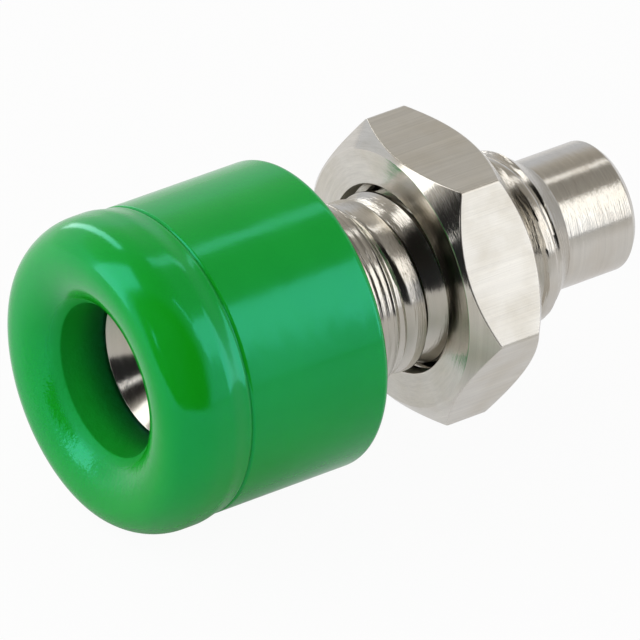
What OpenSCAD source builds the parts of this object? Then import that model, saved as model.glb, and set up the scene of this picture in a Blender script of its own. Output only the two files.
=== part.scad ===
// Miniature panel socket for 2 mm plugs: a moulded head, a turned contact bush and a hex nut.
// The axis is X. The mouth faces -X, the solder tail points to +X, and X = 0 is the panel face.
// Lengths are in millimetres and angles in degrees.

/* [Head] */
// Diameter of the barrel that lies against the panel
head_d = 7; // [6.8:0.1:7.6]
// Panel face to parting line
barrel_l = 3.64; // [3.2:0.02:3.9]
// Panel face to the front of the lip
head_l = 5.57; // [5.5:0.01:6.2]
// How far the front ring stands out over the barrel
ring_step = 0.08; // [0.02:0.01:0.16]
// Length of the flare between the parting line and the front ring
flare_l = 0.52; // [0.3:0.02:0.6]
// Outer rounding of the lip
lip_r = 1.3; // [1:0.05:1.35]
// Tighter rounding of the lip's crest
crest_round = 0.66; // [0.5:0.02:0.8]
// How far the outer rounding turns before it goes over into the crest
crest_turn = 38; // [34:1:50]
// Depth of the throat's edge behind the front of the lip
mouth_l = 0.54; // [0.42:0.02:0.7]
// Diameter of the throat in front of the contact bush
throat_d = 3.5; // [3.4:0.05:3.6]
// Rounding of the edge at the panel face
rear_round = 0.17; // [0.05:0.01:0.3]
// Depth of the witness groove at the parting line
witness_depth = 0.05; // [0.02:0.01:0.08]

/* [Contact bush] */
// Diameter of the plain collar that centres the socket in the panel
collar_d = 4.32; // [4.2:0.02:4.4]
// Panel face to the end of the plain collar
collar_l = 1.34; // [1:0.02:1.38]
// Outer diameter of the thread
thread_d = 4; // [3.9:0.05:4.1]
// Panel face to the start of the thread's end chamfer
thread_l = 5.65; // [5.2:0.05:6.2]
// Length of the end chamfer between thread and tail
run_out = 0.65; // [0.3:0.05:0.8]
// Diameter of the solder tail
tail_d = 3; // [2.8:0.05:3.2]
// Panel face to the end of the solder tail
tail_end = 8.2; // [7.8:0.1:9]
// Front of the bush, measured from the panel face
rim_depth = 3.88; // [3.7:0.02:4.1]
// Diameter of the plug bore
bore_d = 2; // [1.9:0.05:2.2]
// Panel face to the bottom of the plug bore
bore_end = 4.6; // [4:0.1:4.9]
// Wide end of the lead-in cone
lead_d = 3.38; // [3:0.02:3.4]
// Diameter of the shank inside the head
neck_d = 4.66; // [4.5:0.02:4.8]
// Diameter of the band that holds the bush in the moulded head
anchor_d = 5.5; // [5.2:0.1:5.8]
// Diameter of the solder cup
cup_d = 2; // [1.8:0.05:2.2]
// Depth of the solder cup's straight wall
cup_l = 1.4; // [1:0.1:1.5]

/* [Hex nut] */
// Width across the flats
nut_af = 6.1; // [5.8:0.1:6.6]
// Height of the nut
nut_h = 1.95; // [1.6:0.05:2.2]
// Panel face to the nut's front face as it is shown
nut_at = 2.5; // [1.4:0.01:3.6]
// Turn of the nut about the axis, zero with a flat on top
nut_turn = 0; // [0:1:60]
// Slope of the corner chamfers against the faces
nut_bevel = 40; // [20:1:45]
// Play between the nut's bore and the thread
nut_play = 0.05; // [0.02:0.01:0.1]
// Width of the countersinks at both ends of the nut's bore
nut_sink = 0.25; // [0.1:0.01:0.3]

/* [Hidden] */
$fn = 128;

green = [0.07, 0.52, 0.12];
nickel = [0.75, 0.72, 0.67];
bright_nickel = [0.82, 0.80, 0.76];

barrel_r = head_d / 2;
ring_r = barrel_r + ring_step;
throat_r = throat_d / 2;
// Slope of a drill point of 118 degrees
drill_slope = tan(31);
// Centres of the lip's two roundings, which touch each other at crest_turn
crest_step = lip_r - crest_round;
lip_c = [ring_r - lip_r, crest_round + crest_step * sin(crest_turn) - head_l];
crest_c = lip_c + crest_step * [cos(crest_turn), -sin(crest_turn)];
// Rounding of the mouth, which starts at the top of the crest and ends at the throat's edge
mouth_round = (pow(crest_c[0] - throat_r, 2) + pow(mouth_l, 2)) / (2 * mouth_l);
// Ends of the holding band, between the bush's front and the panel face
anchor_front = -0.72 * rim_depth;
anchor_rear = -0.34 * rim_depth;
anchor_bevel = 0.2;
rim_bevel = 0.1;
tail_bevel = 0.16;
cup_bevel = 0.12;

// Turns a part drawn about Z so that its axis lies along X
module along_x() {
    rotate([0, 90, 0]) children();
}

// Radial section of a drilled hole that opens towards +Z, with the drill point at its bottom
module drilled_section(r, bottom, top) {
    polygon([[0, bottom - r * drill_slope], [r, bottom], [r, top], [0, top]]);
}

// Outside of the bush from its front, over the holding band, collar and thread, to the end chamfer
module shank_section() {
    neck_r = neck_d / 2;
    anchor_r = anchor_d / 2;
    collar_r = collar_d / 2;
    thread_r = thread_d / 2;
    polygon([
        [0, -rim_depth],
        [neck_r - rim_bevel, -rim_depth],
        [neck_r, rim_bevel - rim_depth],
        [neck_r, anchor_front],
        [anchor_r - anchor_bevel, anchor_front],
        [anchor_r, anchor_front + anchor_bevel],
        [anchor_r, anchor_rear - anchor_bevel],
        [anchor_r - anchor_bevel, anchor_rear],
        [neck_r, anchor_rear],
        [neck_r, 0],
        [collar_r, 0],
        [collar_r, collar_l - (collar_r - thread_r)],
        [thread_r, collar_l],
        [thread_r, thread_l],
        [tail_d / 2, thread_l + run_out],
        [0, thread_l + run_out]
    ]);
}

// What a rounding of radius r takes off over a turn from the X axis, seen from the arc's centre
module round_cut(r, turn = 90) {
    reach = r + 1;
    difference() {
        polygon(turn < 90 ? [[0, 0], [reach, 0], [reach, reach * tan(turn)]] :
            [[0, 0], [reach, 0], [reach, reach], [0, reach]]);
        circle(r);
    }
}

// Outside of the head: barrel, flared ring and rounded lip
module head_outline() {
    difference() {
        polygon([
            [0, 0],
            [barrel_r, 0],
            [barrel_r, -barrel_l],
            [ring_r, -barrel_l - flare_l],
            [ring_r, -head_l],
            [0, -head_l]
        ]);
        // edge at the panel face
        translate([barrel_r - rear_round, -rear_round]) round_cut(rear_round);
        // outer side of the lip and its crest
        translate(lip_c) rotate(-90) round_cut(lip_r);
        translate(crest_c) rotate(-90) round_cut(crest_round, 90 - crest_turn);
        // parting line
        translate([barrel_r, -barrel_l]) rotate(45) square(witness_depth * sqrt(2), center = true);
    }
}

// Way in for the plug, rounded from the crest to the throat's edge
module mouth_section() {
    difference() {
        translate([0, -head_l - 1]) square([crest_c[0], 1.2 * mouth_l + 1]);
        translate([crest_c[0], mouth_round - head_l]) circle(mouth_round);
    }
}

// Straight throat up to the front of the bush
module throat_section() {
    translate([0, -head_l - 1]) square([throat_r, head_l + 2]);
}

// Moulded green head with the throat for the plug
module insulating_head() {
    color(green) along_x() rotate_extrude() difference() {
        head_outline();
        mouth_section();
        throat_section();
        shank_section();
    }
}

// Turned brass bush, nickel plated: lead-in, plug bore, thread and solder tail in one piece
module contact_bush() {
    bore_r = bore_d / 2;
    lead_r = lead_d / 2;
    cup_r = cup_d / 2;
    tail_r = tail_d / 2;
    color(nickel) along_x() rotate_extrude() difference() {
        union() {
            shank_section();
            polygon([
                [0, thread_l],
                [tail_r, thread_l],
                [tail_r, tail_end - tail_bevel],
                [tail_r - tail_bevel, tail_end],
                [0, tail_end]
            ]);
        }
        // plug bore, open to the front, with its drill point and lead-in cone
        mirror([0, 1]) drilled_section(bore_r, -bore_end, rim_depth + 1);
        polygon([
            [0, -rim_depth - 1],
            [lead_r + 1, -rim_depth - 1],
            [lead_r, -rim_depth],
            [bore_r, lead_r - bore_r - rim_depth],
            [0, lead_r - bore_r - rim_depth]
        ]);
        // solder cup, open to the rear
        drilled_section(cup_r, tail_end - cup_l, tail_end + 1);
        polygon([
            [0, tail_end - cup_bevel],
            [cup_r, tail_end - cup_bevel],
            [cup_r + cup_bevel + 1, tail_end + 1],
            [0, tail_end + 1]
        ]);
    }
}

// Nickel-plated hex nut with its corners bevelled on both faces
module hex_nut() {
    corner_r = nut_af / sqrt(3);
    face_r = 0.967 * nut_af / 2;
    bevel_h = (corner_r - face_r) * tan(nut_bevel);
    hole_r = thread_d / 2 + nut_play;
    translate([nut_at, 0, 0]) rotate([nut_turn, 0, 0]) color(bright_nickel) along_x() difference() {
        intersection() {
            rotate(30) cylinder(h = nut_h, r = corner_r, $fn = 6);
            rotate_extrude() polygon([
                [0, 0],
                [face_r, 0],
                [corner_r, bevel_h],
                [corner_r, nut_h - bevel_h],
                [face_r, nut_h],
                [0, nut_h]
            ]);
        }
        rotate_extrude() polygon([
            [0, -1],
            [hole_r + nut_sink + 1, -1],
            [hole_r, nut_sink],
            [hole_r, nut_h - nut_sink],
            [hole_r + nut_sink + 1, nut_h + 1],
            [0, nut_h + 1]
        ]);
    }
}

insulating_head();
contact_bush();
hex_nut();
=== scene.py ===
"""Looks of a miniature plug socket: green moulded head, threaded nickel-plated bush and hex nut."""

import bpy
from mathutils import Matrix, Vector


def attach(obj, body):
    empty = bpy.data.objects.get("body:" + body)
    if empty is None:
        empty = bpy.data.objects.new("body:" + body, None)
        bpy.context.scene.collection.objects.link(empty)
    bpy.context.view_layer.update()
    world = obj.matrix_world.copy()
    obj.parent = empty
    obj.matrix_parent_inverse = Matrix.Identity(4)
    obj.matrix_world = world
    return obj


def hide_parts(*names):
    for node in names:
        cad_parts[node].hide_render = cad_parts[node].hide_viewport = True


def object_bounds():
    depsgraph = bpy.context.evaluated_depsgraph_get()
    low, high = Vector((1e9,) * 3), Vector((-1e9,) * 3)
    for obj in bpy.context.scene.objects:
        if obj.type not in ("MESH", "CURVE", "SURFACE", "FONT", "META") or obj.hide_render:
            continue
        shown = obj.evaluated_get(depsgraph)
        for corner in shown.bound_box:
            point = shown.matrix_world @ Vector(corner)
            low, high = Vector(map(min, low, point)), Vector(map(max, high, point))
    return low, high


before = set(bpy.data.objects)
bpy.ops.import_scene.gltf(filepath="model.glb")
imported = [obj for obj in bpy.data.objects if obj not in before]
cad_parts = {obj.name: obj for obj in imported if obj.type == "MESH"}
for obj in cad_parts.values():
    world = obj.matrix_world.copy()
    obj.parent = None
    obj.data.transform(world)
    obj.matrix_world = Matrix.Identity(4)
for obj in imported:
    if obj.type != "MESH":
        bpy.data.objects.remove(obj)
CAD_BOX = [list(corner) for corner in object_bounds()]

import logging
import math
from dataclasses import dataclass
from enum import Enum
from typing import Any, Callable, Iterable, Optional, Sequence, Union

import bmesh
import bpy
import numpy as np
from mathutils import Matrix, Vector

MM = 0.001
LOG = logging.getLogger("socket")

Point = tuple[float, float]
Triple = tuple[float, float, float]
Colour = tuple[float, float, float]
Operand = Union["Wire", float]

WHITE = (1.0, 1.0, 1.0, 1.0)
BLACK = (0.0, 0.0, 0.0, 1.0)


class Body(Enum):
    """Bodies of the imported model."""

    SOCKET = "socket"
    NUT = "nut"


class Slot(Enum):
    """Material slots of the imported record."""

    HEAD = "green_plastic"
    BUSH = "nickel_plated_brass"
    NUT = "nickel_plated_nut"


class Lay(Enum):
    """Which way the tool marks of a metal surface run."""

    TURNED = "round the axis, as a lathe leaves them"
    DRAWN = "along the axis on the flats, as a drawing die leaves them"


# ---- shader graphs ----


@dataclass(frozen=True)
class Grain:
    """Fineness of a noise: cells to a unit, octaves, and the weight of the finer ones."""

    scale: float
    octaves: float = 2.0
    rough: float = 0.6


class Wire:
    """A node's output, which Python's operators extend with Math nodes."""

    def __init__(self, graph: "Graph", socket: bpy.types.NodeSocket) -> None:
        """Keeps the graph and the socket."""
        self.graph = graph
        self.socket = socket

    def _math(self, operation: str, first: Operand, second: Operand) -> "Wire":
        """Adds one Math node on two values."""
        return self.graph.node("ShaderNodeMath", {"operation": operation}, {0: first, 1: second})

    def __add__(self, other: Operand) -> "Wire":
        """Sum."""
        return self._math("ADD", self, other)

    __radd__ = __add__

    def __sub__(self, other: Operand) -> "Wire":
        """Difference."""
        return self._math("SUBTRACT", self, other)

    def __rsub__(self, other: Operand) -> "Wire":
        """Difference from a number."""
        return self._math("SUBTRACT", other, self)

    def __mul__(self, other: Operand) -> "Wire":
        """Product."""
        return self._math("MULTIPLY", self, other)

    __rmul__ = __mul__

    def __pow__(self, other: Operand) -> "Wire":
        """Power."""
        return self._math("POWER", self, other)

    def __rpow__(self, other: Operand) -> "Wire":
        """Power of a number."""
        return self._math("POWER", other, self)

    def __abs__(self) -> "Wire":
        """Magnitude."""
        return self._math("ABSOLUTE", self, 0.0)

    def centred(self) -> "Wire":
        """A value from 0 to 1 less a half, so that it adds nothing on average."""
        return self - 0.5

    def eased(self, low: float, high: float) -> "Wire":
        """Smooth step.

        Args:
            low: Value that gives 0.
            high: Value that gives 1.

        Returns:
            A value from 0 to 1.
        """
        return self.graph.node(
            "ShaderNodeMapRange",
            {"interpolation_type": "SMOOTHSTEP"},
            {"Value": self, "From Min": low, "From Max": high},
        )


class Graph:
    """A node tree that is written as expressions."""

    # Numbers of the Mix node's sockets for colours
    MIX_FIRST, MIX_SECOND, MIX_RESULT = 6, 7, 2

    def __init__(self, tree: bpy.types.NodeTree) -> None:
        """Empties the tree and keeps it."""
        tree.nodes.clear()
        self.tree = tree

    def node(
        self,
        kind: str,
        settings: Optional[dict[str, Any]] = None,
        sockets: Optional[dict[Union[str, int], Any]] = None,
        output: Union[str, int] = 0,
    ) -> Wire:
        """Adds a node.

        Args:
            kind: Blender's name of the node's type.
            settings: Properties, set before the sockets. A colour ramp's stops are given as
                places and colours.
            sockets: Values or wires for the inputs, by name or number.
            output: Which output to return.

        Returns:
            The wire of that output, or the first input's for a node that only takes in.
        """
        made = self.tree.nodes.new(kind)
        for name, value in (settings or {}).items():
            if name == "stops":
                ramp = made.color_ramp.elements
                while len(ramp) < len(value):
                    ramp.new(0.5)
                for element, (place, colour) in zip(ramp, value):
                    element.position, element.color = place, colour
            else:
                setattr(made, name, value)
        for key, value in (sockets or {}).items():
            if isinstance(value, Wire):
                self.tree.links.new(value.socket, made.inputs[key])
            else:
                made.inputs[key].default_value = value
        return Wire(self, made.outputs[output] if made.outputs else made.inputs[0])

    def vector(self, operation: str, first: Any, second: Any) -> Wire:
        """Vector Math on two vectors, or on a vector and a factor.

        Args:
            operation: Blender's name of the operation.
            first: The vector.
            second: The other vector, or the factor of SCALE.

        Returns:
            The new vector, or the value of DOT_PRODUCT.
        """
        second_key = "Scale" if operation == "SCALE" else 1
        output = "Value" if operation == "DOT_PRODUCT" else "Vector"
        sockets = {0: first, second_key: second}
        return self.node("ShaderNodeVectorMath", {"operation": operation}, sockets, output)

    def colour(self, factor: Operand, first: Any, second: Any) -> Wire:
        """Mixes two colours by a factor."""
        sockets = {0: factor, self.MIX_FIRST: first, self.MIX_SECOND: second}
        return self.node("ShaderNodeMix", {"data_type": "RGBA"}, sockets, self.MIX_RESULT)

    def place(self) -> Wire:
        """Place on the piece, in millimetres of the part's frame."""
        return self.vector("SCALE", self.node("ShaderNodeTexCoord", output="Object"), 1.0 / MM)

    def parts_of(self, vector: Wire) -> tuple[Wire, Wire, Wire]:
        """The three components of a vector."""
        split = self.node("ShaderNodeSeparateXYZ", None, {0: vector}).socket.node
        return tuple(Wire(self, split.outputs[k]) for k in range(3))

    def joined(self, x: Operand, y: Operand, z: Operand) -> Wire:
        """A vector from three values."""
        return self.node("ShaderNodeCombineXYZ", None, {0: x, 1: y, 2: z})

    def noise(self, vector: Wire, grain: Grain) -> Wire:
        """Noise from 0 to 1 over a vector."""
        sockets = {"Scale": grain.scale, "Detail": grain.octaves, "Roughness": grain.rough}
        return self.node("ShaderNodeTexNoise", None, {"Vector": vector, **sockets})

    def bump(self, height: Wire, depth_mm: float) -> Wire:
        """Normal of a surface with small relief of a given depth."""
        sockets = {"Height": height, "Distance": depth_mm * MM, "Strength": 1.0}
        return self.node("ShaderNodeBump", None, sockets)


def new_material(name: str) -> tuple[bpy.types.Material, Graph]:
    """Makes an empty node material.

    Args:
        name: Name of the finish.

    Returns:
        The material and its graph.
    """
    material = bpy.data.materials.new(name)
    material.use_nodes = True
    return material, Graph(material.node_tree)


def rgba(colour: Colour) -> tuple[float, float, float, float]:
    """A colour with full alpha."""
    return (*colour, 1.0)


# ---- finishes ----


@dataclass(frozen=True)
class PlasticFinish:
    """Glossy moulded plastic with a faint flow in its colour, a skin that isn't quite even, and
    painted shade that darkens the throat's colour deeper in.

    Ranges in millimetres are places where a change starts and ends: throat_mm and scuff_reach_mm
    from the axis, throat_deep_mm along it, where the painted shade grows, and scuff_top_mm upwards.
    """

    name: str
    colour: Colour
    deep_colour: Colour
    gloss_tint: Colour
    ior: float
    roughness: float
    throat_extra: float
    throat_mm: Point
    # Painted shade: how far the throat's colour is darkened at its deep end
    painted_throat_shade: float
    skin_mm: float
    scuff: float
    throat_deep_mm: Point = (-4.8, -3.9)
    scuff_reach_mm: Point = (2.35, 2.75)
    scuff_top_mm: Point = (-0.8, 0.6)
    flow_range: Point = (0.3, 0.7)
    flow_roughness: float = 0.05
    speck_roughness: float = 0.03
    speck_skin: float = 0.12
    flow_grain: Grain = Grain(0.55, 3.0, 0.55)
    speck_grain: Grain = Grain(14.0)
    skin_grain: Grain = Grain(1.6, rough=0.4)
    scuff_grain: Grain = Grain(8.0)

    def material(self) -> bpy.types.Material:
        """Builds the node material.

        Returns:
            The material.
        """
        material, g = new_material(self.name)
        place = g.place()
        x, y, z = g.parts_of(place)
        radius = (y * y + z * z) ** 0.5
        flow = g.noise(place, self.flow_grain).eased(*self.flow_range)
        specks = g.noise(place, self.speck_grain)
        throat = 1 - radius.eased(*self.throat_mm)
        scuffed = (1 - radius.eased(*self.scuff_reach_mm)) * (1 - z.eased(*self.scuff_top_mm))
        skin = g.noise(place, self.skin_grain) + self.speck_skin * specks
        skin = skin + self.scuff * scuffed * g.noise(place, self.scuff_grain)
        # Painted shade: the throat's colour is darkened deeper in, where shade falls towards the
        # bush
        painted_shade = self.painted_throat_shade * throat * x.eased(*self.throat_deep_mm)
        colour = g.colour(flow, rgba(self.deep_colour), rgba(self.colour))
        roughness = self.roughness + self.flow_roughness * flow.centred()
        roughness = roughness + self.speck_roughness * specks.centred()
        shader = g.node(
            "ShaderNodeBsdfPrincipled",
            None,
            {
                "Base Color": g.vector("SCALE", colour, 1 - painted_shade),
                "Roughness": roughness + self.throat_extra * throat,
                "IOR": self.ior,
                "Specular Tint": rgba(self.gloss_tint),
                "Normal": g.bump(skin, self.skin_mm),
            },
        )
        g.node("ShaderNodeOutputMaterial", None, {"Surface": shader})
        return material


@dataclass(frozen=True)
class NickelFinish:
    """Bright nickel over brass with the marks that its tool left.

    Each lay of marks has a coarse and a fine noise with their weights. outside_mm is where along
    the axis the smoother inside of the bore ends, and end_facing is how far a normal leans to the
    axis on an end face.
    """

    name: str
    colour: Colour
    warm_colour: Colour
    roughness: float
    bore_roughness: float
    face_roughness: float
    mark_mm: float
    mark_tone: float
    lay: Lay
    end_facing: Point = (0.55, 0.7)
    outside_mm: Point = (-2.0, -1.0)
    bore_marks: float = 0.3
    mark_roughness: float = 0.5
    bloom_roughness: float = 0.2
    bloom_range: Point = (0.35, 0.75)
    bloom_grain: Grain = Grain(0.9, 3.0, 0.55)
    turned_sweep: float = 0.15
    turned_weights: Point = (0.6, 0.4)
    turned_grains: tuple[Grain, Grain] = (Grain(9.0, 3.0), Grain(34.0))
    drawn_stretch: float = 0.02
    drawn_weights: Point = (0.5, 0.5)
    drawn_grains: tuple[Grain, Grain] = (Grain(7.0, 3.0), Grain(26.0))

    def _facing(self, g: Graph) -> Wire:
        """How far a surface faces along the axis, from 0 on the sides to 1 on the end faces."""
        normal = g.node("ShaderNodeNewGeometry", output="Normal")
        return abs(g.parts_of(normal)[0]).eased(*self.end_facing)

    def _marks(self, g: Graph) -> Wire:
        """Tool marks from 0 to 1 over the piece.

        Args:
            g: The material's graph.

        Returns:
            Height of the marks.
        """
        x, y, z = g.parts_of(g.place())
        radius = (y * y + z * z) ** 0.5
        section = g.joined(x, radius, self.turned_sweep * y)
        turned = [w * g.noise(section, n) for w, n in zip(self.turned_weights, self.turned_grains)]
        if self.lay is Lay.TURNED:
            return turned[0] + turned[1]
        bar = g.joined(self.drawn_stretch * x, y, z)
        drawn = [w * g.noise(bar, n) for w, n in zip(self.drawn_weights, self.drawn_grains)]
        facing = self._facing(g)
        return facing * (turned[0] + turned[1]) + (1 - facing) * (drawn[0] + drawn[1])

    def material(self) -> bpy.types.Material:
        """Builds the node material.

        Returns:
            The material.
        """
        material, g = new_material(self.name)
        marks = self._marks(g)
        bloom = g.noise(g.place(), self.bloom_grain).eased(*self.bloom_range)
        plated = g.colour(bloom, rgba(self.colour), rgba(self.warm_colour))
        tone = 1 + self.mark_tone * marks.centred()
        outside = g.parts_of(g.place())[0].eased(*self.outside_mm)
        height = marks * (self.bore_marks + (1 - self.bore_marks) * outside)
        sides = self.bore_roughness + (self.roughness - self.bore_roughness) * outside
        plain = sides + (self.face_roughness - sides) * self._facing(g)
        spread = 1 + self.mark_roughness * marks.centred() + self.bloom_roughness * bloom
        shader = g.node(
            "ShaderNodeBsdfPrincipled",
            None,
            {
                "Base Color": g.vector("SCALE", plated, tone),
                "Metallic": 1.0,
                "Roughness": plain * spread,
                "Normal": g.bump(height, self.mark_mm),
            },
        )
        g.node("ShaderNodeOutputMaterial", None, {"Surface": shader})
        return material


@dataclass(frozen=True)
class FloorFinish:
    """Pale matt floor that the camera sees nearly white, with the shadow kept; reflections see
    painted light on it.

    painted_lit_side and glow_side point to where its mirrored white comes up, between the distances
    of painted_lit_from and glow_from in millimetres.
    """

    name: str
    colour: Colour
    seen_white: float
    mirrored_white: float
    mirrored_glow: float
    mirrored_tint: Colour
    # Painted light: sides and distances where reflections see the floor's white come up
    painted_lit_side: Triple
    painted_lit_from: Point
    glow_side: Triple
    glow_from: Point
    grain: Grain = Grain(0.4, rough=0.5)
    grain_mm: float = 0.02

    def material(self) -> bpy.types.Material:
        """Builds the node material.

        Returns:
            The material.
        """
        material, g = new_material(self.name)
        skin = g.bump(g.noise(g.place(), self.grain), self.grain_mm)
        paper = g.node("ShaderNodeBsdfDiffuse", None, {"Color": rgba(self.colour), "Normal": skin})
        rays = "ShaderNodeLightPath"
        seen = g.node(rays, output="Is Camera Ray")
        mirrored = g.node(rays, output="Is Glossy Ray") + g.node(rays, output="Is Transmission Ray")
        tone = g.colour(seen, rgba(self.mirrored_tint), WHITE)
        white = g.node("ShaderNodeEmission", None, {"Color": tone, "Strength": 1.0})
        # Painted light: reflections see the floor's white come up by place on the far sides, a glow
        # that no lamp gives
        painted_lit = g.vector("DOT_PRODUCT", g.place(), self.painted_lit_side).eased(*self.painted_lit_from)
        glow = g.vector("DOT_PRODUCT", g.place(), self.glow_side).eased(*self.glow_from)
        mirrored_share = self.mirrored_white * painted_lit + self.mirrored_glow * glow
        share = self.seen_white * seen + mirrored * mirrored_share
        shader = g.node("ShaderNodeMixShader", None, {0: share, 1: paper, 2: white})
        g.node("ShaderNodeOutputMaterial", None, {"Surface": shader})
        return material


# ---- outlines and meshes ----


class Outline:
    """A section drawn as places along the axis and radii, in millimetres."""

    # Distance of a stretch's support points from its ends, and the shortest that gets them
    SUPPORT = 0.014
    SHORTEST = 4 * SUPPORT
    # Points closer than this are the same
    SAME = 1e-6

    def __init__(self, x: float, r: float) -> None:
        """Starts the section at one point."""
        self.points: list[Point] = [(x, r)]

    def line(self, x: float, r: float) -> "Outline":
        """Draws a straight stretch, with a point close to each end so that it is shaded flat.

        Args:
            x: Place along the axis where it ends.
            r: Radius where it ends.

        Returns:
            The outline itself.
        """
        x0, r0 = self.points[-1]
        length = math.hypot(x - x0, r - r0)
        if length > self.SHORTEST:
            near = self.SUPPORT / length
            self.points += [(x0 + (x - x0) * t, r0 + (r - r0) * t) for t in (near, 1 - near)]
        self.points.append((x, r))
        return self

    def path(self, points: Iterable[Point]) -> "Outline":
        """Draws a straight stretch to each point in turn.

        Args:
            points: Places along the axis and radii.

        Returns:
            The outline itself.
        """
        for x, r in points:
            self.line(x, r)
        return self

    def arc(self, centre: Point, radius: float, start: float, end: float, steps: int) -> "Outline":
        """Draws an arc; an angle of 0 points away from the axis and 90 along it.

        Args:
            centre: Place along the axis and radius of the centre.
            radius: Radius of the arc.
            start: Angle where it starts, in degrees.
            end: Angle where it ends, in degrees.
            steps: Number of chords.

        Returns:
            The outline itself.
        """
        for k in range(steps + 1):
            a = math.radians(start + (end - start) * k / steps)
            point = (centre[0] + radius * math.sin(a), centre[1] + radius * math.cos(a))
            if math.dist(point, self.points[-1]) > self.SAME:
                self.points.append(point)
        return self


def rounded(points: Sequence[Point], radii: Sequence[float], steps: int = 3) -> list[Point]:
    """Rounds the inner corners of an open section.

    Args:
        points: Corners of the section.
        radii: Rounding at each corner, the two ends included but not used.
        steps: Chords to a rounding.

    Returns:
        The section's points, with a support point beside each rounding.
    """
    support = Outline.SUPPORT
    out = [np.array(points[0])]
    for before, corner, after, radius in zip(points, points[1:], points[2:], radii[1:]):
        corner = np.array(corner)
        into, away = np.array(before) - corner, np.array(after) - corner
        into, away = into / np.linalg.norm(into), away / np.linalg.norm(away)
        half = 0.5 * math.acos(max(-1.0, min(1.0, float(into @ away))))
        cut = radius / math.tan(half)
        middle = into + away
        centre = corner + middle / np.linalg.norm(middle) * radius / math.sin(half)
        first, last = corner + into * cut - centre, corner + away * cut - centre
        turn = math.pi - 2 * half
        out.append(corner + into * (cut + support))
        for k in range(steps + 1):
            t = k / steps
            weights = [math.sin(share * turn) / math.sin(turn) for share in (1 - t, t)]
            out.append(centre + weights[0] * first + weights[1] * last)
        out.append(corner + away * (cut + support))
    out.append(np.array(points[-1]))
    return [(float(x), float(r)) for x, r in out]


class Shell:
    """Collects rings of points about the axis and turns them into one closed mesh."""

    # In metres: points closer than WELD are joined, and edges shorter than SLIVER are dissolved
    WELD = 2e-8
    SLIVER = 5e-9

    def __init__(self, turns: Sequence[float]) -> None:
        """Keeps the angles, in radians, at which every ring has its points."""
        self.turns = np.array(turns)
        self.verts: list[np.ndarray] = []
        self.faces: list[tuple[int, ...]] = []
        self.count = 0

    def _add(self, x: np.ndarray, r: np.ndarray) -> int:
        """Adds a grid of points.

        Args:
            x: Places along the axis in millimetres, a row to a ring.
            r: Radii in millimetres.

        Returns:
            Number of the first point.
        """
        y, z = r * np.cos(self.turns), r * np.sin(self.turns)
        self.verts.append(np.stack([x, y, z], -1).reshape(-1, 3) * MM)
        first, self.count = self.count, self.count + x.size
        return first

    def turned(self, section: Iterable[Point], closed: bool = False) -> "Shell":
        """Revolves a section.

        Args:
            section: Points of the section in order.
            closed: Whether the last point joins the first.

        Returns:
            The shell itself.
        """
        points = np.array(list(section))
        ones = np.ones(len(self.turns))
        return self.rings(points[:, :1] * ones, points[:, 1:] * ones, closed)

    def rings(self, x: np.ndarray, r: np.ndarray, closed: bool = False) -> "Shell":
        """Joins rings of points in order.

        Args:
            x: Places along the axis, a row to a ring.
            r: Radii.
            closed: Whether the last ring joins the first.

        Returns:
            The shell itself.
        """
        rows, n = x.shape
        first = self._add(x, r)
        for i in range(rows if closed else rows - 1):
            a, b = first + i * n, first + (i + 1) % rows * n
            self.faces += [(a + j, b + j, b + (j + 1) % n, a + (j + 1) % n) for j in range(n)]
        return self

    def threaded(
        self,
        start: float,
        end: float,
        pitch: float,
        phase: float,
        groove: Sequence[Point],
        radius: Callable[[np.ndarray, np.ndarray], np.ndarray],
    ) -> "Shell":
        """Lays a right-hand thread between two plain rings.

        Args:
            start: Place of the first ring.
            end: Place of the last ring.
            pitch: Advance in one turn.
            phase: Place of the groove's share 0 at angle 0.
            groove: Places in one pitch, as shares of it, and depths there.
            radius: Gives the radius from place and depth; at both ends it gives the plain ring's.

        Returns:
            The shell itself.
        """
        n, per = len(self.turns), len(groove)
        low = math.floor((start - phase) / pitch) - 2
        high = math.ceil((end - phase) / pitch) + 1
        places = [phase + (k + share) * pitch for k in range(low, high) for share, _ in groove]
        depths = [depth for _ in range(low, high) for _, depth in groove]
        raw = np.array(places)[:, None] + pitch * self.turns[None, :] / (2 * math.pi)
        x = np.clip(raw, start, end)
        first = self._add(x, radius(x, np.array(depths)[:, None] * np.ones(n)))
        rows = len(places)
        for i in range(rows - 1):
            a, b = first + i * n, first + (i + 1) * n
            self.faces += [(a + j, b + j, b + j + 1, a + j + 1) for j in range(n - 1)]
            if i + 1 + per < rows:
                shift = per * n
                self.faces.append((a + n - 1, b + n - 1, b + shift, a + shift))
        return self

    def piece(self, name: str, sharp_deg: float) -> bpy.types.Object:
        """Welds the mesh and links it as an object.

        Args:
            name: Name of the piece.
            sharp_deg: Edges that turn by more than this stay sharp.

        Returns:
            The object.
        """
        mesh = bpy.data.meshes.new(name)
        mesh.from_pydata(np.concatenate(self.verts).tolist(), [], self.faces)
        work = bmesh.new()
        work.from_mesh(mesh)
        bmesh.ops.remove_doubles(work, verts=work.verts, dist=self.WELD)
        bmesh.ops.dissolve_degenerate(work, edges=work.edges, dist=self.SLIVER)
        loose = [v for v in work.verts if not v.link_faces]
        bmesh.ops.delete(work, geom=loose, context="VERTS")
        bmesh.ops.recalc_face_normals(work, faces=work.faces)
        work.to_mesh(mesh)
        work.free()
        mesh.polygons.foreach_set("use_smooth", [True] * len(mesh.polygons))
        mesh.set_sharp_from_angle(angle=math.radians(sharp_deg))
        made = bpy.data.objects.new(name, mesh)
        bpy.context.scene.collection.objects.link(made)
        return made


def even_turns(count: int) -> list[float]:
    """Angles that divide the circle evenly."""
    return [2 * math.pi * k / count for k in range(count)]


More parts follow.
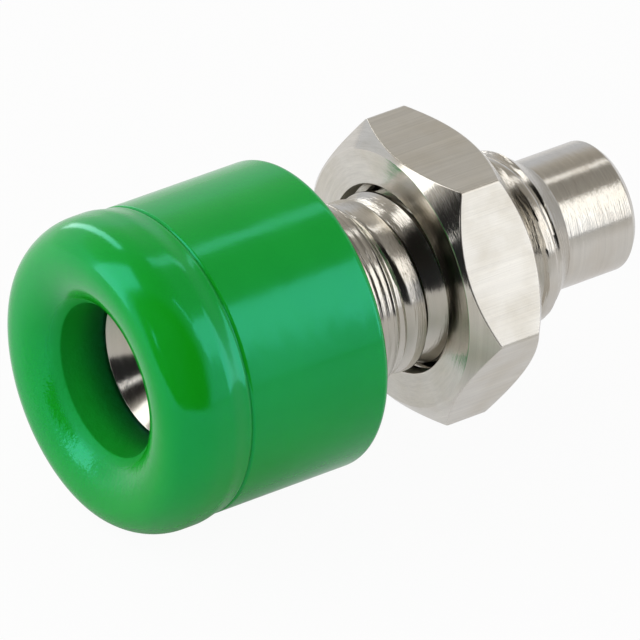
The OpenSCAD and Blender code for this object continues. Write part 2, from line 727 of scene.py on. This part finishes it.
def place_piece(
    piece: bpy.types.Object, material: bpy.types.Material, node: str, body: Body
) -> bpy.types.Object:
    """Dresses a piece and puts it on its body in place of its CAD node.

    Args:
        piece: The object.
        material: Its finish.
        node: CAD node that it stands for.
        body: Body that it rides on.

    Returns:
        The object.
    """
    piece.data.materials.append(material)
    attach(piece, body.value)
    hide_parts(node)
    return piece


# ---- pieces ----


@dataclass
class HeadMoulding:
    """The green head: barrel, parting line, front ring, rounded lip and throat."""

    # Section of the witness groove at the parting line, in depths of it along the axis and inwards
    WITNESS_SHAPE = ((-1.3, 0.0), (-0.7, 0.25), (-0.2, 1.0), (0.2, 1.0), (0.7, 0.25), (1.3, 0.0))
    # Chords of each rounding
    EDGE_CHORDS, MOUTH_CHORDS, CREST_CHORDS, LIP_CHORDS, REAR_CHORDS = 6, 24, 18, 14, 8

    finish: PlasticFinish
    barrel_r: float = 3.5
    barrel_l: float = 3.64
    length: float = 5.57
    ring_step: float = 0.08
    flare_l: float = 0.52
    flare_lead: float = 0.06
    flare_steps: int = 12
    lip_r: float = 1.3
    crest_round: float = 0.66
    crest_turn: float = 38.0
    mouth_l: float = 0.54
    edge_round: float = 0.08
    throat_r: float = 1.75
    rear_round: float = 0.17
    witness: float = 0.05
    pocket_r: float = 2.335
    band_r: float = 2.755
    band: Point = (-2.80, -1.31)
    pocket_front: float = -3.875
    gap: float = 0.05
    gap_end: float = 0.075
    segments: int = 224
    sharp_deg: float = 40.0

    def _way_in(self) -> Outline:
        """Section from the fine gap at the bush's rim along the throat and over the lip.

        Returns:
            The outline, up to the front ring.
        """
        front, small = -self.length, self.crest_round
        step, goes_over = self.lip_r - small, math.radians(self.crest_turn)
        ring_r = self.barrel_r + self.ring_step
        lip = (front + small + step * math.sin(goes_over), ring_r - self.lip_r)
        crest = (front + small, lip[1] + step * math.cos(goes_over))
        wide = ((crest[1] - self.throat_r) ** 2 + self.mouth_l**2) / (2 * self.mouth_l)
        mouth, edge_r = (front + wide, crest[1]), self.throat_r + self.edge_round
        back = math.sqrt((wide - self.edge_round) ** 2 - (mouth[1] - edge_r) ** 2)
        edge = (mouth[0] - back, edge_r)
        turn = math.degrees(math.atan2(edge[0] - mouth[0], edge[1] - mouth[1]))
        gap_r = self.throat_r + self.gap
        out = Outline(self.pocket_front, gap_r).line(self.pocket_front - self.gap, gap_r)
        out.line(self.pocket_front - self.gap_end, self.throat_r).line(edge[0], self.throat_r)
        out.arc(edge, self.edge_round, -180, turn, self.EDGE_CHORDS)
        out.arc(mouth, wide, turn, -90, self.MOUTH_CHORDS)
        out.arc(crest, small, -90, -self.crest_turn, self.CREST_CHORDS)
        return out.arc(lip, self.lip_r, -self.crest_turn, 0, self.LIP_CHORDS)

    def _section(self) -> list[Point]:
        """Closed section from the throat over the lip to the panel face and back along the pocket.

        Returns:
            Its points.
        """
        out = self._way_in()
        seam, ring_r = -self.barrel_l, self.barrel_r + self.ring_step
        wide_end = seam - self.flare_l - self.flare_lead
        narrow_end = seam + self.WITNESS_SHAPE[0][0] * self.witness
        for k in range(self.flare_steps + 1):
            t = k / self.flare_steps
            drop = self.ring_step * t * t * (3 - 2 * t)
            out.line(wide_end + (narrow_end - wide_end) * t, ring_r - drop)
        for along, deep in self.WITNESS_SHAPE[1:]:
            out.line(seam + along * self.witness, self.barrel_r - deep * self.witness)
        rear = (-self.rear_round, self.barrel_r - self.rear_round)
        out.line(-self.rear_round, self.barrel_r)
        out.arc(rear, self.rear_round, 0, 90, self.REAR_CHORDS)
        band_front, band_rear = self.band
        pocket = [
            (0, self.pocket_r),
            (band_rear, self.pocket_r),
            (band_rear, self.band_r),
            (band_front, self.band_r),
            (band_front, self.pocket_r),
            (self.pocket_front, self.pocket_r),
        ]
        return out.path(pocket).points

    def build(self) -> bpy.types.Object:
        """Builds the head's mesh."""
        shell = Shell(even_turns(self.segments)).turned(self._section(), closed=True)
        return shell.piece("head_moulding", self.sharp_deg)

    def dress(self) -> bpy.types.Object:
        """Builds the head and puts it in place."""
        piece, material = self.build(), self.finish.material()
        return place_piece(piece, material, "insulating_head", Body.SOCKET)


@dataclass
class ContactBush:
    """The turned bush: lead-in and plug bore in front, collar, thread and solder tail behind."""

    # Section of a fine ring on the collar: places along the axis, and shares of its depth
    RING_SHAPE = ((-0.03, 0.0), (-0.01, 1.0), (0.0, 1.0), (0.045, 0.0))
    # Edge roundings, with the ends of each section left out
    LEAD_ROUNDS = (0, 0.05, 0.03, 0)
    COLLAR_ROUNDS = (0, 0.04, 0)
    TAIL_ROUNDS = (0, 0.06, 0.04, 0.03, 0.03, 0)
    FINE_CHORDS = 4
    # Steps of the thread's flanks
    REAR_STEPS, FRONT_STEPS = 5, 10

    finish: NickelFinish
    rim: float = -3.88
    rim_bevel: float = 0.1
    rim_land: float = 0.2
    neck_r: float = 2.33
    band_r: float = 2.75
    band: Point = (-2.7936, -1.3192)
    band_bevel: float = 0.2
    collar_r: float = 2.16
    collar_l: float = 1.34
    collar_rings: tuple[float, ...] = (0.78, 0.95, 1.11)
    ring_depth: float = 0.018
    thread_r: float = 2.0
    thread_l: float = 5.65
    run_out: float = 0.65
    tail_r: float = 1.5
    tail_end: float = 8.2
    tail_bevel: float = 0.16
    bore_r: float = 1.0
    bore_end: float = 4.6
    lead_r: float = 1.69
    lead_run: float = 0.06
    cup_r: float = 1.0
    cup_l: float = 1.4
    cup_bevel: float = 0.12
    drill_deg: float = 31.0
    pitch: float = 0.7
    depth: float = 0.25
    root_at: float = 0.5
    half_root: float = 0.04
    half_crest: float = 0.045
    rear_flank: float = 0.29
    flank_step: float = 0.03
    run_in: float = 0.9
    fade: Point = (5.3, 5.5)
    fade_share: float = 0.55
    segments: int = 224
    sharp_deg: float = 38.0

    def _drill_tip(self, radius: float) -> float:
        """Length of the drill point at the bottom of a hole."""
        return math.tan(math.radians(self.drill_deg)) * radius

    def _front(self) -> list[Point]:
        """Section from the bottom of the plug bore over the rim to the end of the collar.

        Returns:
            Its points.
        """
        cone = self.lead_r - self.bore_r
        lead_in = [
            (self.rim + cone + self.lead_run, self.bore_r),
            (self.rim + cone, self.bore_r),
            (self.rim, self.lead_r),
            (self.rim, self.lead_r + self.rim_land),
        ]
        out = Outline(self.bore_end + self._drill_tip(self.bore_r), 0.0)
        out.line(self.bore_end, self.bore_r).line(*lead_in[0])
        out.path(rounded(lead_in, self.LEAD_ROUNDS, self.FINE_CHORDS)[1:])
        band_front, band_rear = self.band
        shank = [
            (self.rim, self.neck_r - self.rim_bevel),
            (self.rim + self.rim_bevel, self.neck_r),
            (band_front, self.neck_r),
            (band_front, self.band_r - self.band_bevel),
            (band_front + self.band_bevel, self.band_r),
            (band_rear - self.band_bevel, self.band_r),
            (band_rear, self.band_r - self.band_bevel),
            (band_rear, self.neck_r),
            (0, self.neck_r),
            (0, self.collar_r),
        ]
        out.path(shank)
        for at in self.collar_rings:
            for along, share in self.RING_SHAPE:
                out.line(at + along, self.collar_r - share * self.ring_depth)
        collar_end = [
            (self.collar_rings[-1] + self.RING_SHAPE[-1][0], self.collar_r),
            (self.collar_l - (self.collar_r - self.thread_r), self.collar_r),
            (self.collar_l, self.thread_r),
        ]
        return out.path(rounded(collar_end, self.COLLAR_ROUNDS, self.FINE_CHORDS)[1:]).points

    def _rear(self) -> list[Point]:
        """Section from the end of the thread over the tail to the bottom of the solder cup.

        Returns:
            Its points.
        """
        cup_end = self.tail_end - self.cup_l
        tail = [
            (self.thread_l + self.run_out, self.tail_r),
            (self.tail_end - self.tail_bevel, self.tail_r),
            (self.tail_end, self.tail_r - self.tail_bevel),
            (self.tail_end, self.cup_r + self.cup_bevel),
            (self.tail_end - self.cup_bevel, self.cup_r),
            (cup_end, self.cup_r),
        ]
        out = Outline(*tail[0]).path(rounded(tail, self.TAIL_ROUNDS)[1:])
        return out.line(cup_end - self._drill_tip(self.cup_r), 0.0).points

    def _groove(self) -> list[Point]:
        """One pitch of the thread, from crest over root to crest, with rounded edges.

        Returns:
            Places as shares of the pitch, counted from the root, and depths.
        """
        root, crest, rear = self.half_root, self.half_crest, self.rear_flank
        front = 1 - 2 * root - 2 * crest - rear
        falls = [k / self.REAR_STEPS for k in range(self.REAR_STEPS + 1)]
        rises = [1 - k / self.FRONT_STEPS for k in range(self.FRONT_STEPS + 1)]
        flanks = [(crest + rear * deep, deep) for deep in falls]
        flanks += [(1 - crest - front * deep, deep) for deep in rises]
        groove = []
        for share, deep in flanks:
            if 0.0 < deep < 1.0:
                deep = self.flank_step + (1 - 2 * self.flank_step) * deep
            groove.append((share - crest - rear - root, deep * self.depth))
        return groove

    def _radius(self, x: np.ndarray, depth: np.ndarray) -> np.ndarray:
        """Radius of the thread.

        Args:
            x: Place along the axis.
            depth: Depth of the groove there.

        Returns:
            The radius, with the groove faded in behind the collar and out before the end chamfer.
        """
        rise = np.clip((x - self.collar_l) / self.run_in, 0, 1)
        fall = np.clip((x - self.fade[0]) / (self.fade[1] - self.fade[0]), 0, 1)
        filled = self.depth * np.maximum(1 - rise, self.fade_share * fall)
        share = np.clip((x - self.thread_l) / self.run_out, 0, 1)
        chamfer = self.thread_r + (self.tail_r - self.thread_r) * share
        return np.minimum(self.thread_r - np.maximum(depth - filled, 0), chamfer)

    def build(self) -> bpy.types.Object:
        """Builds the bush's mesh.

        Returns:
            The piece.
        """
        shell = Shell(even_turns(self.segments))
        shell.turned(self._front())
        shell.threaded(
            self.collar_l,
            self.thread_l + self.run_out,
            self.pitch,
            self.root_at,
            self._groove(),
            self._radius,
        )
        shell.turned(self._rear())
        return shell.piece("contact_bush_turned", self.sharp_deg)

    def dress(self) -> bpy.types.Object:
        """Builds the bush and puts it in place."""
        piece, material = self.build(), self.finish.material()
        return place_piece(piece, material, "contact_bush", Body.SOCKET)


@dataclass
class HexNut:
    """The hex nut, with bevelled corners on both faces and a threaded bore that starts recessed."""

    # One pitch of the inner thread: shares of the pitch, and shares of the depth
    GROOVE_START = ((0.0, 0.0), (0.12, 0.0), (0.2, 0.02), (0.45, 0.95))
    GROOVE_END = ((0.5, 1.0), (0.55, 0.95), (0.8, 0.02), (0.88, 0.0))
    # Edge roundings from the front recess round to the rear one
    ROUNDS = (0, 0.02, 0.02, 0.025, 0.04, 0.04, 0.025, 0.02, 0.02, 0)
    # Degrees of the mesh's points from a corner: close ones, then even ones to the flat's middle
    NEAR_CORNER = (0.0, 0.2, 0.4, 0.6, 0.85, 1.1, 1.6, 3.0)
    ALONG_FLAT = tuple(5.0 + 3.125 * k for k in range(9))
    SECTOR_DEG = 60.0

    finish: NickelFinish
    across_flats: float = 6.1
    height: float = 1.95
    at: float = 2.5
    bevel_deg: float = 40.0
    face_share: float = 0.967
    bore_r: float = 2.05
    sink: float = 0.12
    sink_l: float = 0.5
    sink_slope: float = 0.12
    corner_round: float = 0.1
    pitch: float = 0.7
    depth: float = 0.17
    run_in: float = 0.12
    sharp_deg: float = 38.0

    def _turns(self) -> list[float]:
        """Angles of the mesh, close together at the six corners.

        Returns:
            The angles in radians.
        """
        half = [*self.NEAR_CORNER, *self.ALONG_FLAT]
        sector = half[:-1] + [self.SECTOR_DEG - a for a in reversed(half[1:])]
        return [math.radians(self.SECTOR_DEG * k + a) for k in range(6) for a in sector]

    def _reach(self, turn: float) -> float:
        """Distance of the rounded hexagon from the axis at an angle.

        Args:
            turn: Angle in radians.

        Returns:
            The distance in millimetres.
        """
        flat, small, half = self.across_flats / 2, self.corner_round, math.pi / 6
        off = abs((turn + half) % (2 * half) - half)
        centre = (flat - small) / math.cos(half)
        tangent = half - math.atan((flat - small) * math.tan(half) / flat)
        if off < tangent:
            return centre * math.cos(off) + math.sqrt(small**2 - (centre * math.sin(off)) ** 2)
        return flat / math.cos(half - off)

    def _section(self, turn: float) -> list[Point]:
        """Section of the nut at an angle, from the front recess round to the rear one.

        Args:
            turn: Angle in radians.

        Returns:
            Its points.
        """
        reach, face = self._reach(turn), self.face_share * self.across_flats / 2
        bevel = (reach - face) * math.tan(math.radians(self.bevel_deg))
        sink_r = self.bore_r + self.sink
        half = [
            (self.sink_l, self.bore_r),
            (self.sink_l - self.sink_slope, sink_r),
            (0.0, sink_r),
            (0.0, face),
            (bevel, reach),
        ]
        corners = half + [(self.height - x, r) for x, r in reversed(half)]
        return [(self.at + x, r) for x, r in rounded(corners, self.ROUNDS)]

    def _radius(self, x: np.ndarray, depth: np.ndarray) -> np.ndarray:
        """Radius of the threaded bore, plain at both recesses.

        Args:
            x: Place along the axis.
            depth: Depth of the groove there.

        Returns:
            The radius.
        """
        inside = np.minimum(x - self.at - self.sink_l, self.at + self.height - self.sink_l - x)
        return self.bore_r + depth * np.clip(inside / self.run_in, 0, 1)

    def build(self) -> bpy.types.Object:
        """Builds the nut's mesh.

        Returns:
            The piece.
        """
        turns = self._turns()
        sections = np.array([self._section(turn) for turn in turns])
        groove = self.GROOVE_START + self.GROOVE_END
        shell = Shell(turns)
        shell.rings(sections[:, :, 0].T, sections[:, :, 1].T)
        shell.threaded(
            self.at + self.sink_l,
            self.at + self.height - self.sink_l,
            self.pitch,
            0.0,
            [(share, deep * self.depth) for share, deep in groove],
            self._radius,
        )
        return shell.piece("hex_nut_bevelled", self.sharp_deg)

    def dress(self) -> bpy.types.Object:
        """Builds the nut and puts it in place."""
        piece, material = self.build(), self.finish.material()
        return place_piece(piece, material, "hex_nut", Body.NUT)


# ---- studio ----


def heading(azimuth: float, elevation: float) -> Triple:
    """Unit vector towards a place in the studio.

    Args:
        azimuth: Degrees from +X towards +Y.
        elevation: Degrees above the floor.

    Returns:
        The vector.
    """
    a, e = math.radians(azimuth), math.radians(elevation)
    return (math.cos(a) * math.cos(e), math.sin(a) * math.cos(e), math.sin(e))


@dataclass(frozen=True)
class Softbox:
    """A rectangular lamp that faces the part, with its place in degrees and its sizes in metres."""

    name: str
    azimuth: float
    elevation: float
    distance: float
    width: float
    height: float
    radiance: float
    roll: float = 0.0
    mirrored: bool = True

    def build(self) -> bpy.types.Object:
        """Hangs the lamp.

        Returns:
            The lamp's object.
        """
        lamp = bpy.data.lights.new(self.name, "AREA")
        lamp.shape = "RECTANGLE"
        lamp.size, lamp.size_y = self.width, self.height
        lamp.energy = self.radiance * math.pi * self.width * self.height
        made = bpy.data.objects.new(self.name, lamp)
        way = Vector(heading(self.azimuth, self.elevation))
        made.matrix_world = (
            Matrix.Translation(way * self.distance)
            @ way.to_track_quat("Z", "Y").to_matrix().to_4x4()
            @ Matrix.Rotation(math.radians(self.roll), 4, "Z")
        )
        made.visible_camera = False
        made.visible_glossy = self.mirrored
        bpy.context.scene.collection.objects.link(made)
        return made


@dataclass(frozen=True)
class DimZone:
    """A part of the surround that is left unlit, with a soft edge."""

    azimuth: float
    elevation: float
    outer_deg: float
    inner_deg: float
    share: float


@dataclass(frozen=True)
class Sky:
    """A level of the surround: its place from 0 straight down to 1 straight up, light and tint."""

    at: float
    level: float
    tint: Colour


@dataclass(frozen=True)
class Studio:
    """Floor, pale surround and lamps."""

    floor: FloorFinish
    sky: tuple[Sky, ...]
    dim_zones: tuple[DimZone, ...]
    boxes: tuple[Softbox, ...]
    floor_z: float
    floor_side: float = 1.2

    def _floor(self) -> bpy.types.Object:
        """Lays the floor under the part.

        Returns:
            The floor's object.
        """
        mesh = bpy.data.meshes.new("studio_floor")
        h = self.floor_side / 2
        mesh.from_pydata([(-h, -h, 0), (h, -h, 0), (h, h, 0), (-h, h, 0)], [], [(0, 1, 2, 3)])
        made = bpy.data.objects.new("studio_floor", mesh)
        made.location.z = self.floor_z
        mesh.materials.append(self.floor.material())
        bpy.context.scene.collection.objects.link(made)
        return made

    def _surround(self) -> bpy.types.World:
        """Lights the surround by its levels, dim in its zones and white to the camera.

        Returns:
            The world.
        """
        world = bpy.data.worlds.new("studio_surround")
        world.use_nodes = True
        g = Graph(world.node_tree)
        way = g.node("ShaderNodeTexCoord", output="Generated")
        height = g.parts_of(way)[2]
        stops = [(s.at, (*(s.level * part for part in s.tint), 1.0)) for s in self.sky]
        tone = g.node("ShaderNodeValToRGB", {"stops": stops}, {0: 0.5 + 0.5 * height})
        for zone in self.dim_zones:
            toward = g.vector("DOT_PRODUCT", way, heading(zone.azimuth, zone.elevation))
            low, high = (math.cos(math.radians(a)) for a in (zone.outer_deg, zone.inner_deg))
            tone = g.colour(zone.share * toward.eased(low, high), tone, BLACK)
        seen = g.node("ShaderNodeLightPath", output="Is Camera Ray")
        colour = g.colour(seen, tone, WHITE)
        light = g.node("ShaderNodeBackground", None, {"Color": colour, "Strength": 1.0})
        g.node("ShaderNodeOutputWorld", None, {"Surface": light})
        bpy.context.scene.world = world
        return world

    def build(self) -> None:
        """Sets up floor, surround and lamps."""
        self._floor()
        self._surround()
        for box in self.boxes:
            box.build()


@dataclass(frozen=True)
class Viewpoint:
    """Camera at the photograph's angle, in metres from the part's origin."""

    right: Triple = (0.81227, -0.58164, 0.04373)
    up: Triple = (0.29261, 0.47120, 0.83208)
    distance: float = 0.3005
    aside: float = 0.000514
    below: float = 0.000171
    lens: float = 777.3
    sensor: float = 36.0
    clip: Point = (0.005, 5.0)

    def build(self) -> bpy.types.Object:
        """Sets the camera.

        Returns:
            The camera's object.
        """
        data = bpy.data.cameras.new("photo_view")
        data.lens, data.sensor_width = self.lens, self.sensor
        data.clip_start, data.clip_end = self.clip
        data.dof.use_dof = False
        made = bpy.data.objects.new("photo_view", data)
        right, up = Vector(self.right).normalized(), Vector(self.up).normalized()
        back = right.cross(up).normalized()
        up = back.cross(right)
        turn = Matrix((right, up, back)).transposed().to_4x4()
        place = back * self.distance + right * self.aside - up * self.below
        made.matrix_world = Matrix.Translation(place) @ turn
        bpy.context.scene.collection.objects.link(made)
        bpy.context.scene.camera = made
        return made


GREEN = PlasticFinish(
    name="green_moulded",
    colour=(0.007, 0.38, 0.010),
    deep_colour=(0.006, 0.355, 0.008),
    gloss_tint=(0.12, 1.0, 0.95),
    ior=1.9,
    roughness=0.15,
    throat_extra=0.4,
    throat_mm=(1.8, 2.0),
    painted_throat_shade=0.72,
    skin_mm=0.005,
    scuff=2.4,
)
NICKEL = NickelFinish(
    name="nickel_turned",
    colour=(0.625, 0.60, 0.55),
    warm_colour=(0.59, 0.55, 0.485),
    roughness=0.14,
    bore_roughness=0.035,
    face_roughness=0.14,
    mark_mm=0.011,
    mark_tone=0.25,
    lay=Lay.TURNED,
)
NUT_NICKEL = NickelFinish(
    name="nickel_drawn",
    colour=(0.705, 0.68, 0.625),
    warm_colour=(0.655, 0.617, 0.54),
    roughness=0.31,
    bore_roughness=0.31,
    face_roughness=0.11,
    mark_mm=0.005,
    mark_tone=0.5,
    lay=Lay.DRAWN,
)
PAPER = FloorFinish(
    name="pale_floor",
    colour=(0.72, 0.72, 0.71),
    seen_white=0.95,
    mirrored_white=0.59,
    mirrored_glow=0.15,
    mirrored_tint=(0.98, 0.975, 1.0),
    painted_lit_side=(0.606, 0.795, 0.0),
    painted_lit_from=(-5.0, 0.5),
    glow_side=(0.69, -0.72, 0.0),
    glow_from=(8.0, 26.0),
)
COOL, WARM = (0.95, 0.975, 1.03), (1.0, 0.95, 0.87)
SKY = (
    Sky(0.0, 0.7, COOL),
    Sky(0.5, 0.72, COOL),
    Sky(0.67, 0.72, COOL),
    Sky(0.75, 0.58, WARM),
    Sky(0.85, 0.43, WARM),
    Sky(0.93, 0.36, WARM),
    Sky(1.0, 0.2, WARM),
)
DIM_ZONES = (DimZone(-130.0, 20.0, 63.0, 47.0, 0.97),)
LAMPS = (
    Softbox("front_softbox", -46.2, 25.1, 0.16, 0.065, 0.143, 1.35),
    Softbox("front_edge_strip", -56.0, 60.0, 0.16, 0.005, 0.07, 2.0),
    Softbox("overhead_strip", 27.0, 56.0, 0.12, 0.07, 0.015, 1.1, roll=58.7),
    Softbox("back_strip", 83.5, 27.0, 0.16, 0.018, 0.17, 2.5, roll=-12.0),
    Softbox("left_strip", 148.5, 34.0, 0.16, 0.064, 0.20, 1.5),
    Softbox("side_strip", -165.0, 27.0, 0.16, 0.010, 0.03, 1.8),
    Softbox("soft_fill", -148.0, 36.0, 0.2, 0.24, 0.24, 1.08, mirrored=False),
    Softbox("front_fill", 175.0, 8.0, 0.2, 0.24, 0.24, 0.5, mirrored=False),
    Softbox("top_fill", 90.0, 55.0, 0.2, 0.24, 0.24, 0.3, mirrored=False),
)
# The floor lies this far below the part's lowest point, in millimetres
FLOOR_GAP = 0.005


def main() -> None:
    """Builds the camera, the studio and the three pieces."""
    logging.basicConfig(level=logging.INFO, format="%(name)s: %(message)s")
    bpy.context.scene.view_settings.view_transform = "Standard"
    Viewpoint().build()
    Studio(PAPER, SKY, DIM_ZONES, LAMPS, floor_z=CAD_BOX[0][2] - FLOOR_GAP * MM).build()
    for maker in (HeadMoulding(GREEN), ContactBush(NICKEL), HexNut(NUT_NICKEL)):
        piece = maker.dress()
        LOG.info("%s: %d faces", piece.name, len(piece.data.polygons))


if __name__ == "__main__":
    main()
